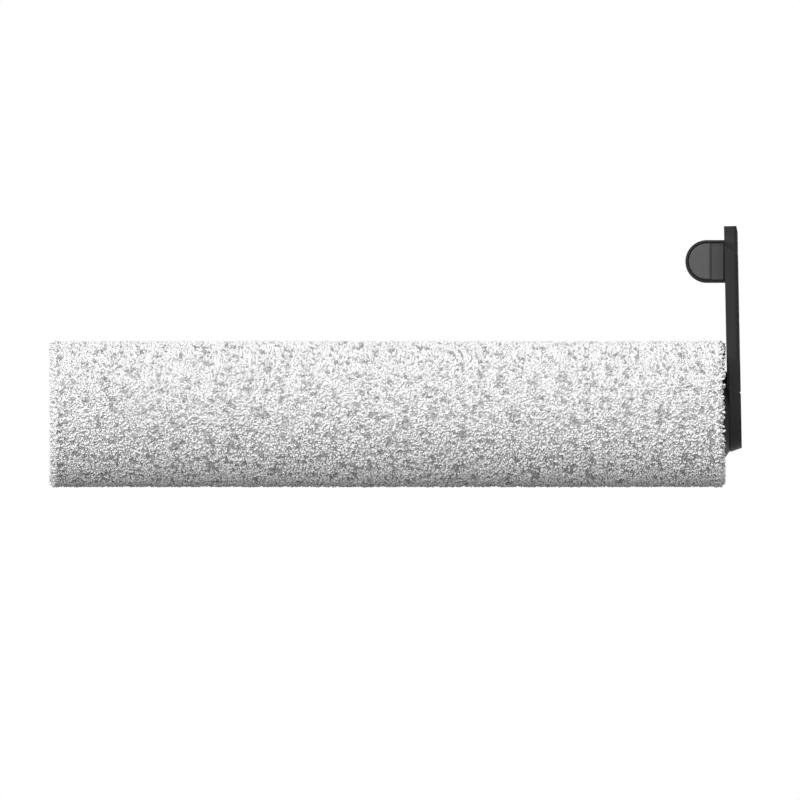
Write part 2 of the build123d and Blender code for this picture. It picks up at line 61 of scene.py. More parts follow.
class Body(Enum):
    """The moving bodies that a piece can ride on."""

    BRACKET = "bracket"
    ROLLER = "roller"
    CAGE = "ball_cage"


class End(Enum):
    """The two ends of the roller, with the way that each one faces along X."""

    DRIVE = -1
    BRACKET = 1


def linear(hex_colour: str) -> tuple[float, float, float, float]:
    """Turn an sRGB hex colour into linear RGBA.

    Args:
        hex_colour: Six hex digits after a hash sign.

    Returns:
        The linear colour with full opacity.
    """
    bend, low_slope, offset, scale, power = 0.04045, 12.92, 0.055, 1.055, 2.4
    channels = [int(hex_colour[i:i + 2], 16) / 255 for i in (1, 3, 5)]
    red, green, blue = (c / low_slope if c <= bend else ((c + offset) / scale) ** power for c in channels)
    return red, green, blue, 1.0


def set_inputs(tree: bpy.types.NodeTree, node: bpy.types.Node, inputs: dict[str | int, object]) -> None:
    """Set a node's sockets to values, or feed them from sockets of other nodes.

    Args:
        tree: The node tree that holds the node.
        node: The node whose sockets are set.
        inputs: Values or feeding sockets, by the name or number of the node's socket.
    """
    for socket, value in inputs.items():
        if isinstance(value, bpy.types.NodeSocket):
            tree.links.new(value, node.inputs[socket])
        else:
            node.inputs[socket].default_value = value


def add_node(
    tree: bpy.types.NodeTree,
    kind: str,
    inputs: dict[str | int, object] | None = None,
    **settings: object,
) -> bpy.types.Node:
    """Add one shader node with its settings, socket values and links.

    Args:
        tree: The node tree that gets the node.
        kind: The node's type name.
        inputs: Values for its sockets, or sockets of other nodes that feed them.
        settings: Properties of the node itself.

    Returns:
        The new node.
    """
    node = tree.nodes.new(kind)
    for name, value in settings.items():
        setattr(node, name, value)
    set_inputs(tree, node, inputs or {})
    return node


def own_place(tree: bpy.types.NodeTree) -> bpy.types.NodeSocket:
    """Give a piece's own coordinates, in metres."""
    return add_node(tree, "ShaderNodeTexCoord").outputs["Object"]


def noise(tree: bpy.types.NodeTree, size_mm: float, inputs: dict[str, float]) -> bpy.types.NodeSocket:
    """Add a noise pattern of a real size.

    Args:
        tree: The node tree that gets it.
        size_mm: The size of its patches.
        inputs: Values for its other sockets.

    Returns:
        The pattern's value.
    """
    sockets = {"Vector": own_place(tree), "Scale": 1 / (size_mm * MM), **inputs}
    return add_node(tree, "ShaderNodeTexNoise", sockets).outputs[0]


def waves(
    tree: bpy.types.NodeTree, period_mm: float, inputs: dict[str, float], **settings: str
) -> bpy.types.NodeSocket:
    """Add a wave pattern of a real size.

    Args:
        tree: The node tree that gets it.
        period_mm: The distance from wave to wave.
        inputs: Values for its other sockets.
        settings: The kind and the direction of the waves.

    Returns:
        The pattern's value.
    """
    sockets = {"Vector": own_place(tree), "Scale": WAVE_PERIOD / (period_mm * MM), **inputs}
    return add_node(tree, "ShaderNodeTexWave", sockets, **settings).outputs["Fac"]


def remap(
    tree: bpy.types.NodeTree,
    value: bpy.types.NodeSocket,
    source: tuple[float, float],
    target: tuple[float, float],
    curve: str = "LINEAR",
) -> bpy.types.NodeSocket:
    """Carry a value from one range over to another.

    Args:
        tree: The node tree that gets the node.
        value: The value to carry over.
        source: The range that it comes from.
        target: The range that it goes to.
        curve: How it runs between the two ends.

    Returns:
        The new value.
    """
    ends = ("From Min", "From Max", "To Min", "To Max")
    sockets = {"Value": value, **dict(zip(ends, source + target))}
    return add_node(tree, "ShaderNodeMapRange", sockets, interpolation_type=curve).outputs[0]


def blend(
    tree: bpy.types.NodeTree, factor: bpy.types.NodeSocket, low: str, high: str
) -> bpy.types.NodeSocket:
    """Blend two colours.

    Args:
        tree: The node tree that gets the node.
        factor: 0 for the first colour and 1 for the second.
        low: The first colour, in sRGB hex.
        high: The second colour, in sRGB hex.

    Returns:
        The blended colour.
    """
    sockets = {MIX_FACTOR: factor, MIX_FIRST: linear(low), MIX_SECOND: linear(high)}
    return add_node(tree, "ShaderNodeMix", sockets, data_type="RGBA").outputs[MIX_RESULT]


def toned(
    tree: bpy.types.NodeTree, colour: bpy.types.NodeSocket, tone: bpy.types.NodeSocket
) -> bpy.types.NodeSocket:
    """Multiply a colour by a tone.

    Args:
        tree: The node tree that gets the node.
        colour: The colour.
        tone: How much of it is left.

    Returns:
        The darker colour.
    """
    sockets = {MIX_FACTOR: 1.0, MIX_FIRST: colour, MIX_SECOND: tone}
    mix = add_node(tree, "ShaderNodeMix", sockets, data_type="RGBA", blend_type="MULTIPLY")
    return mix.outputs[MIX_RESULT]


def relief(
    tree: bpy.types.NodeTree, height: bpy.types.NodeSocket, depth_mm: float, strength: float
) -> bpy.types.NodeSocket:
    """Add a fine relief.

    Args:
        tree: The node tree that gets the node.
        height: The pattern that stands out.
        depth_mm: How deep it is.
        strength: How much of it shows.

    Returns:
        The normals of the relief.
    """
    sockets = {"Strength": strength, "Distance": depth_mm * MM, "Height": height}
    return add_node(tree, "ShaderNodeBump", sockets).outputs[0]


def finish_piece(piece: bpy.types.Object, name: str, body: Body, finish: "Finish", *nodes: str) -> None:
    """Name a new piece, give it its finish and set it on the body that carries it.

    Args:
        piece: The finished mesh object, with its place in its mesh.
        name: The piece's name.
        body: The body that it moves with.
        finish: The finish that it shows.
        nodes: The CAD nodes that it stands for.
    """
    piece.name = name
    piece.data.name = name
    piece.data.materials.clear()
    piece.data.materials.append(finish.material())
    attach(piece, body.value)
    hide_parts(*nodes)
    LOG.info("%s: %s, %d faces on %s", name, finish.name, len(piece.data.polygons), body.value)


def dress(finish: "Finish", body: Body, *nodes: str) -> None:
    """Give CAD nodes that keep their shape a finish.

    Args:
        finish: The finish that they show.
        body: The body that they belong to.
        nodes: The names of the CAD nodes.
    """
    for name in nodes:
        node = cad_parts[name]
        node.data.materials.clear()
        node.data.materials.append(finish.material())
        LOG.info("%s: %s in slot %s on %s", name, finish.name, finish.slot, body.value)


@dataclass(frozen=True)
class Finish:
    """A finish: its material's name and the record's slot that it belongs to."""

    name: str
    slot: str

    def material(self) -> bpy.types.Material:
        """Give the finish's material, made once.

        Returns:
            The material, shared by all pieces with this finish.
        """
        made = bpy.data.materials.get(self.name)
        if made is None:
            made = bpy.data.materials.new(self.name)
            made.use_nodes = True
            made.node_tree.nodes.clear()
            shader = add_node(made.node_tree, "ShaderNodeBsdfPrincipled")
            add_node(made.node_tree, "ShaderNodeOutputMaterial", {"Surface": shader.outputs[0]})
            self.shade(made.node_tree, shader)
        return made

    def shade(self, tree: bpy.types.NodeTree, shader: bpy.types.Node) -> None:
        """Set and feed the surface shader.

        Args:
            tree: The material's node tree.
            shader: The surface shader in it.
        """
        raise NotImplementedError


@dataclass(frozen=True)
class CutPile(Finish):
    """Cut microfibre pile: white fibres with painted shade towards their roots, quite matt."""

    tip: str
    # The root colour is painted shade, for the shadow low down between the fibres.
    root: str
    root_shade_rise: tuple[float, float]
    shaded: float
    patch_mm: float
    roughness: float
    specular: float

    def shade(self, tree: bpy.types.NodeTree, shader: bpy.types.Node) -> None:
        """Colour each fibre with painted shade from its root up to its tip, with its own tone and soft
        patches.

        Args:
            tree: The material's node tree.
            shader: The surface shader in it.
        """
        height = add_node(tree, "ShaderNodeAttribute", attribute_name=TIP_LAYER).outputs["Fac"]
        own = add_node(tree, "ShaderNodeAttribute", attribute_name=SHADE_LAYER).outputs["Fac"]
        # Painted shade: the colour runs from the grey root colour up to the white tip, for the shade deep
        # in the pile.
        fibre = blend(tree, remap(tree, height, self.root_shade_rise, UNIT, "SMOOTHSTEP"), self.root, self.tip)
        patch = remap(tree, noise(tree, self.patch_mm, {"Detail": 2.0}), NOISE_RANGE, (self.shaded, 1.0))
        tone = add_node(tree, "ShaderNodeMath", {0: patch, 1: own}, operation="MULTIPLY").outputs[0]
        sockets = {
            "Base Color": toned(tree, fibre, tone),
            "Roughness": self.roughness,
            "Specular IOR Level": self.specular,
        }
        set_inputs(tree, shader, sockets)


@dataclass(frozen=True)
class Knit(Finish):
    """Knitted backing of the pile: dull pale yarn loops in rows round the roller."""

    light: str
    dark: str
    loop_mm: float

    def shade(self, tree: bpy.types.NodeTree, shader: bpy.types.Node) -> None:
        """Draw the rows of loops as bands with uneven edges.

        Args:
            tree: The material's node tree.
            shader: The surface shader in it.
        """
        rows = waves(tree, self.loop_mm, {"Distortion": 4.0}, bands_direction="X")
        sockets = {
            "Base Color": blend(tree, rows, self.dark, self.light),
            "Normal": relief(tree, rows, depth_mm=self.loop_mm / 2, strength=0.6),
            "Roughness": 0.95,
            "Specular IOR Level": 0.1,
        }
        set_inputs(tree, shader, sockets)


@dataclass(frozen=True)
class Moulded(Finish):
    """Moulded plastic or rubber: an eroded mould grain, a hazy gloss and faint flow tones."""

    light: str
    dark: str
    roughness: tuple[float, float]
    specular: float
    grain_mm: float
    grain_depth_mm: float
    flow_mm: float

    def colour(self, tree: bpy.types.NodeTree) -> bpy.types.NodeSocket:
        """Blend the two tones along the flow of the melt."""
        flow = noise(tree, self.flow_mm, {"Detail": 4.0, "Distortion": 0.6})
        return blend(tree, flow, self.dark, self.light)

    def shade(self, tree: bpy.types.NodeTree, shader: bpy.types.Node) -> None:
        """Put the grain in the bump, the haze in the roughness and the flow in the colour.

        Args:
            tree: The material's node tree.
            shader: The surface shader in it.
        """
        grain = noise(tree, self.grain_mm, {"Detail": 3.0, "Roughness": 0.6})
        sockets = {
            "Base Color": self.colour(tree),
            "Roughness": remap(tree, grain, NOISE_RANGE, self.roughness),
            "Normal": relief(tree, grain, depth_mm=self.grain_depth_mm, strength=1.0),
            "Specular IOR Level": self.specular,
        }
        set_inputs(tree, shader, sockets)


@dataclass(frozen=True)
class PanelledGrip(Moulded):
    """Soft overmould whose strap, next to the arm, is coloured darker than its cushion."""

    strap_x_mm: float
    strap_tone: float
    crease_mm: float

    def colour(self, tree: bpy.types.NodeTree) -> bpy.types.NodeSocket:
        """Darken the moulded colour past the crease between cushion and strap.

        Args:
            tree: The material's node tree.

        Returns:
            The colour of cushion and strap.
        """
        along = add_node(tree, "ShaderNodeSeparateXYZ", {0: own_place(tree)}).outputs["X"]
        crease = ((self.strap_x_mm - self.crease_mm / 2) * MM, (self.strap_x_mm + self.crease_mm / 2) * MM)
        return toned(tree, super().colour(tree), remap(tree, along, crease, (1.0, self.strap_tone)))


@dataclass(frozen=True)
class TurnedSteel(Finish):
    """Turned, ground or drawn steel: fine rings round the axis and a little tarnish."""

    light: str
    dark: str
    roughness: tuple[float, float]
    ring_mm: float
    tarnish_mm: float = 3.0

    def shade(self, tree: bpy.types.NodeTree, shader: bpy.types.Node) -> None:
        """Draw the tool marks as rings round X and the tarnish as noise.

        Args:
            tree: The material's node tree.
            shader: The surface shader in it.
        """
        marks = {"Distortion": 1.5, "Detail": 2.0}
        rings = waves(tree, self.ring_mm, marks, wave_type="RINGS", rings_direction="X")
        tarnish = noise(tree, self.tarnish_mm, {"Detail": 5.0})
        sockets = {
            "Base Color": blend(tree, tarnish, self.dark, self.light),
            "Roughness": remap(tree, rings, UNIT, self.roughness),
            "Normal": relief(tree, rings, depth_mm=self.ring_mm / 4, strength=0.3),
            "Metallic": 1.0,
        }
        set_inputs(tree, shader, sockets)


@dataclass(frozen=True)
class Felt(Finish):
    """Pressed wool felt: matted short hairs, dull and grey."""

    light: str
    dark: str
    hair_mm: float

    def shade(self, tree: bpy.types.NodeTree, shader: bpy.types.Node) -> None:
        """Draw the matted hairs as twisted noise in colour and bump.

        Args:
            tree: The material's node tree.
            shader: The surface shader in it.
        """
        hairs = noise(tree, self.hair_mm, {"Detail": 6.0, "Distortion": 2.0})
        sockets = {
            "Base Color": blend(tree, hairs, self.dark, self.light),
            "Normal": relief(tree, hairs, depth_mm=self.hair_mm, strength=0.8),
            "Roughness": 1.0,
            "Sheen Weight": 0.3,
        }
        set_inputs(tree, shader, sockets)


# Polyester microfibre, heat-set and sheared: chalk-white fibres, with painted shade that darkens them
# towards the root, where their neighbours shade them.
PILE = CutPile(
    "polyester_cut_pile",
    "pile",
    tip="#fafafa",
    root="#eaeaea",
    root_shade_rise=(0.2, 0.9),
    shaded=0.92,
    patch_mm=6.0,
    roughness=0.9,
    specular=0.02,
)
# Circular-knit polyester ground cloth, glued to the tube: dull grey between the fibres.
GROUND_CLOTH = Knit("polyester_knit_backing", "pile", light="#d6d6d6", dark="#cacaca", loop_mm=0.8)
# Black ABS from a spark-eroded mould: a fine grain that breaks up the shine. The real grain is about
# 0.1 mm and is drawn coarser here so that it shows.
BRACKET_ABS = Moulded(
    "black_abs_eroded",
    "bracket_abs",
    light="#282828",
    dark="#242424",
    roughness=(0.38, 0.52),
    specular=0.1,
    grain_mm=0.35,
    grain_depth_mm=0.012,
    flow_mm=14.0,
)
# Soft thermoplastic elastomer moulded over the tab: matt dark grey with a powdery grain.
GRIP_TPE = PanelledGrip(
    "grey_tpe_overmould",
    "grip_tpe",
    light="#565656",
    dark="#4d4d4d",
    roughness=(0.62, 0.8),
    specular=0.15,
    grain_mm=0.4,
    grain_depth_mm=0.015,
    flow_mm=8.0,
    strap_x_mm=232.1,
    strap_tone=0.7,
    crease_mm=0.4,
)
# Dark grey acetal of the two plugs: waxy, smoother than the bracket.
PLUG_POM = Moulded(
    "dark_acetal_moulded",
    "plug_pom",
    light="#3c3d3f",
    dark="#343537",
    roughness=(0.3, 0.42),
    specular=0.35,
    grain_mm=0.6,
    grain_depth_mm=0.008,
    flow_mm=10.0,
)
# Pale grey ABS tube, extruded: satin, with faint soft tones.
TUBE_ABS = Moulded(
    "pale_abs_extruded",
    "tube_abs",
    light="#cfcfcd",
    dark="#c2c2c0",
    roughness=(0.4, 0.5),
    specular=0.4,
    grain_mm=1.2,
    grain_depth_mm=0.006,
    flow_mm=20.0,
)
# Nitrile rubber of the seals: black and dull, with a skin that is a little uneven.
SEAL_RUBBER = Moulded(
    "nitrile_rubber_moulded",
    "seal_rubber",
    light="#262626",
    dark="#1c1c1c",
    roughness=(0.55, 0.7),
    specular=0.3,
    grain_mm=0.5,
    grain_depth_mm=0.01,
    flow_mm=6.0,
)
# Natural nylon of the ball cage and the nut's ring: creamy and waxy.
NYLON = Moulded(
    "natural_nylon_moulded",
    "nylon",
    light="#e4dfcf",
    dark="#d9d2bf",
    roughness=(0.35, 0.45),
    specular=0.4,
    grain_mm=0.5,
    grain_depth_mm=0.005,
    flow_mm=5.0,
)
# Hardened bearing steel, ground and lapped: nearly a mirror.
BEARING_STEEL = TurnedSteel(
    "bearing_steel_ground", "bearing_steel", "#d8d9dc", "#c9cacd", roughness=(0.12, 0.2), ring_mm=0.12
)
# Ground steel of the spacer on which the seal runs: satin rings.
GROUND_STEEL = TurnedSteel(
    "steel_ground", "ground_steel", "#c4c5c7", "#b2b3b6", roughness=(0.25, 0.36), ring_mm=0.15
)
# Phosphated spring steel of the circlip and the garter spring: dark and dull.
SPRING_STEEL = TurnedSteel(
    "spring_steel_phosphated", "spring_steel", "#6c6c6e", "#515153", roughness=(0.42, 0.55), ring_mm=0.2
)
# Zinc-plated steel of the axle, washer and nut: bright with a bluish tone.
ZINC_PLATE = TurnedSteel(
    "steel_zinc_plated", "zinc_plated_steel", "#c9cdd2", "#b4b9bf", roughness=(0.28, 0.42), ring_mm=0.18
)
# Pressed wool felt of the hub's ring.
WOOL_FELT = Felt("wool_felt_pressed", "felt", light="#8c8c8d", dark="#6a6a6c", hair_mm=0.4)


@dataclass(frozen=True)
class Drift:
    """A smooth random field over the unrolled pile, which closes round the roller."""

    wave_mm: float
    amount_mm: float
    spread: tuple[float, float] = (0.7, 1.5)
    terms: int = 48

    def sample(
        self, x: np.ndarray, angle: np.ndarray, radius: float, rng: np.random.Generator
    ) -> tuple[np.ndarray, np.ndarray, np.ndarray]:
        """Sample the field at the fibres' places.

        Args:
            x: Places along the axis, in millimetres.
            angle: Places round the roller, in radians.
            radius: The radius at which the pile is unrolled.
            rng: The seeded source of the field's waves.

        Returns:
            The shift along the axis and round the roller, and how far the fibres part, about -2 to 2.
        """
        along = np.zeros_like(x)
        around = np.zeros_like(x)
        parting = np.zeros_like(x)
        for _ in range(self.terms):
            number = tau / (self.wave_mm * rng.uniform(*self.spread))
            heading = rng.uniform(0, tau)
            wave_x = number * np.cos(heading)
            turns = round(number * np.sin(heading) * radius)
            size = np.hypot(wave_x, turns / radius)
            phase = wave_x * x + turns * angle + rng.uniform(0, tau)
            along += np.sin(phase) * wave_x / size
            around += np.sin(phase) * turns / radius / size
            parting += np.cos(phase)
        scale = np.sqrt(2 / self.terms)
        return along * scale * self.amount_mm, around * scale * self.amount_mm, parting * scale


@dataclass(frozen=True)
class FibreForm:
    """The form of one kind of fibre: its sides, its tone's height at each ring and tip, and its widths."""

    sides: int
    heights: tuple[float, ...]
    widths: tuple[float, ...]

    def points(self, paths: np.ndarray, thickness: np.ndarray, spin: np.ndarray) -> np.ndarray:
        """Set the rings of points round each fibre's path, and its tip.

        Args:
            paths: Points along each fibre from root to tip, as fibres x rings + 1 x 3.
            thickness: Each fibre's diameter.
            spin: Each fibre's turn about its own length.

        Returns:
            The points, as fibres x points x 3.
        """
        steep = 0.8
        axis = paths[:, -1] - paths[:, 0]
        axis /= np.linalg.norm(axis, axis=1, keepdims=True)
        beside = np.where(np.abs(axis[:, :1]) < steep, [[1.0, 0.0, 0.0]], [[0.0, 1.0, 0.0]])
        side = np.cross(axis, beside)
        side /= np.linalg.norm(side, axis=1, keepdims=True)
        across = np.cross(axis, side)
        corner = spin[:, None] + tau * np.arange(self.sides) / self.sides
        spokes = np.cos(corner)[..., None] * side[:, None] + np.sin(corner)[..., None] * across[:, None]
        reach = np.array(self.widths)[None, :, None, None] * thickness[:, None, None, None] / 2
        walls = paths[:, :-1, None, :] + spokes[:, None] * reach
        return np.concatenate([walls.reshape(len(paths), -1, 3), paths[:, -1:]], axis=1)

    def faces(self, count: int) -> tuple[np.ndarray, np.ndarray]:
        """List the corners of all walls and tips.

        Args:
            count: How many fibres there are.

        Returns:
            The point numbers of the four-sided walls and of the three-sided tips.
        """
        rings = len(self.widths)
        last, tip = (rings - 1) * self.sides, rings * self.sides
        walls, tips = [], []
        for ring in range(rings - 1):
            low, high = ring * self.sides, (ring + 1) * self.sides
            for k in range(self.sides):
                after = (k + 1) % self.sides
                walls.append((low + k, low + after, high + after, high + k))
        for k in range(self.sides):
            tips.append((last + k, last + (k + 1) % self.sides, tip))
        step = (np.arange(count) * (tip + 1))[:, None, None]
        return (np.array(walls)[None] + step).reshape(-1), (np.array(tips)[None] + step).reshape(-1)

    def mesh(
        self,
        name: str,
        paths: np.ndarray,
        thickness: np.ndarray,
        spin: np.ndarray,
        shades: np.ndarray,
    ) -> bpy.types.Object:
        """Make one mesh of many fibres, each a rod that ends in a blunt point.

        Args:
            name: The object's name.
            paths: Points along each fibre from root to tip, in millimetres, as fibres x rings + 1 x 3.
            thickness: Each fibre's diameter.
            spin: Each fibre's turn about its own length.
            shades: Each fibre's tone, with any painted shade in it.

        Returns:
            The linked object.
        """
        count = len(paths)
        points = self.points(paths, thickness, spin)
        four, three = self.faces(count)
        starts = np.concatenate([np.arange(0, len(four), 4), len(four) + np.arange(0, len(three), 3)])
        mesh = bpy.data.meshes.new(name)
        mesh.vertices.add(count * points.shape[1])
        mesh.vertices.foreach_set("co", (points * MM).astype(np.float32).ravel())
        mesh.loops.add(len(four) + len(three))
        mesh.loops.foreach_set("vertex_index", np.concatenate([four, three]).astype(np.int32))
        mesh.polygons.add(len(starts))
        mesh.polygons.foreach_set("loop_start", starts.astype(np.int32))
        heights = np.repeat(np.array(self.heights[:-1]), self.sides)
        tip = np.tile(np.append(heights, self.heights[-1]), count)
        for label, values in ((TIP_LAYER, tip), (SHADE_LAYER, np.repeat(shades, points.shape[1]))):
            layer = mesh.attributes.new(label, "FLOAT", "POINT")
            layer.data.foreach_set("value", values.astype(np.float32))
        mesh.update(calc_edges=True)
        piece = bpy.data.objects.new(name, mesh)
        bpy.context.scene.collection.objects.link(piece)
        return piece


@dataclass(frozen=True)
class PileSpace:
    """The room that the pile has: its CAD node, the tube in it and the bracket's leaning arm beside it."""

    start: float
    end: float
    tube_radius: float
    tip_radius: float
    fibre: float = 0.86
    past_drive: float = 0.5
    arm_face: float = 237.79
    arm_lean: float = 0.0192

    @classmethod
    def in_frame(cls) -> "PileSpace":
        """Take the sizes from the CAD nodes.

        Returns:
            The pile's room in the shared frame, in millimetres.
        """
        low, high = (np.array(corner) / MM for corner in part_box("pile_cover"))
        tube_low, tube_high = (np.array(corner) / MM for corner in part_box("core_tube"))
        return cls(low[0], high[0], (tube_high[1] - tube_low[1]) / 2, (high[1] - low[1]) / 2)

    def held_back(self, x: np.ndarray, radius: np.ndarray, room: np.ndarray | float) -> np.ndarray:
        """Keep fibres clear of the bracket, which they pass as the roller turns.

        Args:
            x: Places along the axis.
            radius: Distances from the axis.
            room: How far the fibres' middles stay off.

        Returns:
            The places, no nearer to the bracket than its leaning arm allows.
        """
        face = self.arm_face - self.arm_lean * radius
        return np.clip(x, self.start - self.past_drive + room, face - room)

    @staticmethod
    def on_roller(x: np.ndarray, angle: np.ndarray, radius: np.ndarray) -> np.ndarray:
        """Give points from places along the axis, angles round it and distances from it."""
        return np.stack([x, radius * np.cos(angle), radius * np.sin(angle)], axis=1)


@dataclass
class PileBacking:
    """The ground cloth round the tube: a sleeve with rounded rims."""

    space: PileSpace
    radius: float = 24.75
    inset: float = 1.0
    sides: int = 128
    rim_round: float = 1.2
    rim_segments: int = 3
    crease_degrees: float = 40.0

    def build(self) -> None:
        """Model the sleeve from a cylinder."""
        space = self.space
        end_facing = 0.9
        bpy.ops.object.select_all(action="DESELECT")
        bpy.ops.mesh.primitive_cylinder_add(
            vertices=self.sides,
            radius=self.radius * MM,
            depth=(space.end - space.start - 2 * self.inset) * MM,
            location=((space.start + space.end) / 2 * MM, 0, 0),
            rotation=(0, pi / 2, 0),
        )
        cloth = bpy.context.object
        bpy.ops.object.transform_apply(location=True, rotation=True, scale=True)
        bpy.ops.object.mode_set(mode="EDIT")
        bpy.ops.mesh.select_mode(type="FACE")
        bpy.ops.mesh.select_all(action="DESELECT")
        bpy.ops.object.mode_set(mode="OBJECT")
        for face in cloth.data.polygons:
            face.select = abs(face.normal.x) > end_facing
        bpy.ops.object.mode_set(mode="EDIT")
        bpy.ops.mesh.inset(thickness=(self.radius - space.tube_radius) * MM, use_individual=True)
        bpy.ops.mesh.bridge_edge_loops()
        bpy.ops.mesh.select_all(action="SELECT")
        bpy.ops.mesh.normals_make_consistent(inside=False)
        bpy.ops.object.mode_set(mode="OBJECT")
        bevel = cloth.modifiers.new("rims", "BEVEL")
        bevel.width = self.rim_round * MM
        bevel.segments = self.rim_segments
        bevel.limit_method = "ANGLE"
        bpy.ops.object.modifier_apply(modifier=bevel.name)
        bpy.ops.object.shade_smooth_by_angle(angle=radians(self.crease_degrees))
        finish_piece(cloth, "pile_backing", Body.ROLLER, GROUND_CLOTH, "pile_cover")


@dataclass
class PileStubs:
    """The short fibres all over the backing, in bands along the roller.

    They stand in a jittered grid, lean together in naps and tufts, drop towards both ends, and carry
    painted shade in spots where the pile parts, for the shadow in the gaps between tufts.
    """

    space: PileSpace
    root_radius: float = 24.55
    spacing: float = 0.75
    jitter: float = 0.3
    inset: float = 1.1
    nap: Drift = Drift(7.0, 0.25)
    tuft: Drift = Drift(2.5, 0.22)
    nap_share: float = 0.7
    gap_level: float = 2.8
    lean: float = 0.5
    end_reach: float = 2.8
    end_drop: float = 2.6
    end_lean: float = 0.7
    uneven: float = 0.7
    least_length: float = 0.4
    cap: float = 0.12
    width_range: tuple[float, float] = (0.82, 1.15)
    tone_range: tuple[float, float] = (0.94, 1.0)
    spot_level: float = 1.0
    spot_fade: float = 0.4
    spot_range: tuple[float, float] = (0.6, 1.0)
    spot_drop: float = 0.3
    # Painted shade that darkens the fibres in the spots where the pile parts.
    spot_painted_shade: float = 0.58
    bands: int = 6
    form: FibreForm = FibreForm(sides=3, heights=(0.0, 0.9, 1.0), widths=(0.85, 1.0))

    def places(self, rng: np.random.Generator) -> tuple[np.ndarray, np.ndarray]:
        """Set out the jittered grid.

        Args:
            rng: The seeded source of all variation.

        Returns:
            The fibres' places along the axis and their angles round it.
        """
        space = self.space
        around = round(tau * space.tip_radius / self.spacing)
        length = space.end - space.start - 2 * self.inset
        row_pitch = self.spacing * cos(pi / 6)
        rows = round(length / row_pitch)
        grid = np.meshgrid(np.arange(rows), np.arange(around), indexing="ij")
        row, column = (numbers.ravel() for numbers in grid)
        x = space.start + self.inset + (row + 0.5) * length / rows
        x += rng.uniform(-self.jitter, self.jitter, len(row)) * self.spacing
        shift = rng.uniform(-self.jitter, self.jitter, len(row))
        return x, tau * (column + row % 2 / 2 + shift) / around

    def build(self, rng: np.random.Generator) -> None:
        """Grow the fibres and make a piece of each band.

        Args:
            rng: The seeded source of all variation.
        """
        space = self.space
        x, angle = self.places(rng)
        nap_x, nap_t, thinning = self.nap.sample(x, angle, space.tip_radius, rng)
        tuft_x, tuft_t, parting = self.tuft.sample(x, angle, space.tip_radius, rng)
        parting += self.nap_share * thinning
        kept = parting < self.gap_level
        fields = (x, angle, parting, nap_x + tuft_x, nap_t + tuft_t)
        x, angle, parting, shift_x, shift_t = (field[kept] for field in fields)
        count = len(x)
        lean_x = shift_x + rng.normal(0, self.lean, count)
        lean_t = shift_t + rng.normal(0, self.lean, count)
        to_end = np.minimum(x - space.start, space.end - x)
        near = np.clip(1 - to_end / self.end_reach, 0, 1)
        facing = np.where(x > (space.start + space.end) / 2, 1.0, -1.0)
        lean_x += facing * near * rng.uniform(0.0, self.end_lean, count)
        spot = np.clip((parting - self.spot_level) / self.spot_fade, 0, 1)
        spot *= rng.uniform(*self.spot_range, count)
        top = space.tip_radius - rng.uniform(0.0, self.uneven, count) - self.spot_drop * spot
        top -= self.end_drop * near ** 2
        top = np.maximum(top, self.root_radius + self.least_length)
        thick = space.fibre * rng.uniform(*self.width_range, count)
        root = space.on_roller(x, angle, np.full(count, self.root_radius))
        tip_x = space.held_back(x + lean_x, top, thick / 2)
        tip = space.on_roller(tip_x, angle + lean_t / space.tip_radius, top)
        shoulder = root + (tip - root) * (1 - self.cap / (top - self.root_radius))[:, None]
        paths = np.stack([root, shoulder, tip], axis=1)
        # Painted shade: fibres in the parted spots are darkened to stand for the shadow in the gaps
        # between tufts.
        shades = rng.uniform(*self.tone_range, count) - self.spot_painted_shade * spot
        spin = rng.uniform(0, tau, count)
        band = ((x - space.start) / (space.end - space.start) * self.bands).astype(int)
        band = np.clip(band, 0, self.bands - 1)
        for k in range(self.bands):
            own = band == k
            piece = self.form.mesh(f"pile_band_{k + 1}", paths[own], thick[own], spin[own], shades[own])
            finish_piece(piece, piece.name, Body.ROLLER, PILE, "pile_cover")


